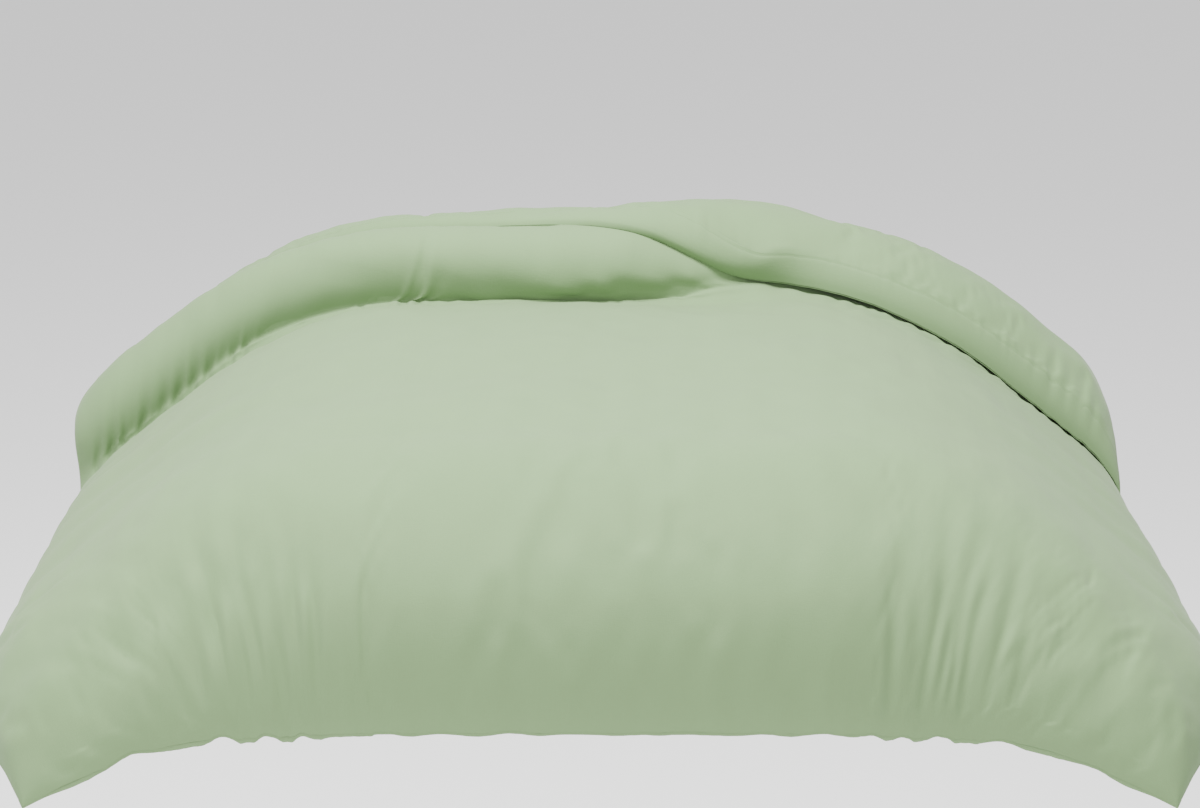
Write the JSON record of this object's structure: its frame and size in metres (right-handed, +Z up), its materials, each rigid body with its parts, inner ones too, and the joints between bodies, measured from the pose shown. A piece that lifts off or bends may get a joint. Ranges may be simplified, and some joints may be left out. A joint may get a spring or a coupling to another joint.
{
  "type": "duvet",
  "caption": "Square zipped duvet with a stitched-box insert, draped over a bed with its sides and foot hanging and its head end turned back in a diagonal fold.",
  "frame": {"origin": "on the bed's top surface, under the middle of the flat part of the duvet's back panel", "axes": "+Z up, +Y towards the head of the bed, +X to the right seen from the foot"},
  "size_m": [2.0773, 1.8366, 0.6609],
  "materials": {
    "cover_microfibre": "brushed microfibre, matte, sage green",
    "zip_tape": "woven polyester tape dyed to match",
    "zip_coil": "moulded nylon coil dyed to match",
    "zip_metal": "tumbled zinc alloy, satin",
    "label_satin": "blank woven satin",
    "insert_cotton": "plain white shell cloth",
    "insert_filling": "siliconised polyester fibre filling",
    "twill_tape": "white cotton twill tape"
  },
  "bodies": {
    "duvet": {"care_label": "label_satin", "corner_tie_foot_left": "twill_tape", "corner_tie_foot_right": "twill_tape", "corner_tie_head_left": "twill_tape", "corner_tie_head_right": "twill_tape", "cover_back_panel": "cover_microfibre", "cover_face_panel": "cover_microfibre", "fill_foot_drop_centre": "insert_filling", "fill_foot_drop_left": "insert_filling", "fill_foot_drop_right": "insert_filling", "fill_foot_top_centre": "insert_filling", "fill_foot_top_left": "insert_filling", "fill_foot_top_right": "insert_filling", "fill_head_top_centre": "insert_filling", "fill_head_top_left": "insert_filling", "fill_head_top_right": "insert_filling", "fill_middle_top_centre": "insert_filling", "fill_middle_top_left": "insert_filling", "fill_middle_top_right": "insert_filling", "fill_pleat_centre": "insert_filling", "fill_pleat_left": "insert_filling", "fill_pleat_right": "insert_filling", "fill_turnback_centre": "insert_filling", "fill_turnback_left": "insert_filling", "fill_turnback_right": "insert_filling", "foot_facing": "cover_microfibre", "head_hem_band": "cover_microfibre", "insert_bottom_shell": "insert_cotton", "insert_loop_foot_left": "twill_tape", "insert_loop_foot_right": "twill_tape", "insert_loop_head_left": "twill_tape", "insert_loop_head_right": "twill_tape", "insert_top_shell": "insert_cotton", "zip_bottom_stop": "zip_metal", "zip_chain": "zip_coil", "zip_tape_lower": "zip_tape", "zip_tape_upper": "zip_tape", "zip_top_stop": "zip_metal"},
    "zip_slider": {"zip_slider": "zip_metal"},
    "zip_pull": {"zip_pull": "zip_metal"}
  },
  "joints": [
    {"name": "zip_slide", "type": "slide", "parent": "duvet", "child": "zip_slider", "axis": [1, 0, 0], "range_m": [-0.68, 0]},
    {"name": "pull_swing", "type": "hinge", "parent": "zip_slider", "child": "zip_pull", "pos_m": [0.3406, -1.09965, -0.2942], "axis": [0, -0.4067, -0.9135], "range_deg": [0, 170]}
  ]
}
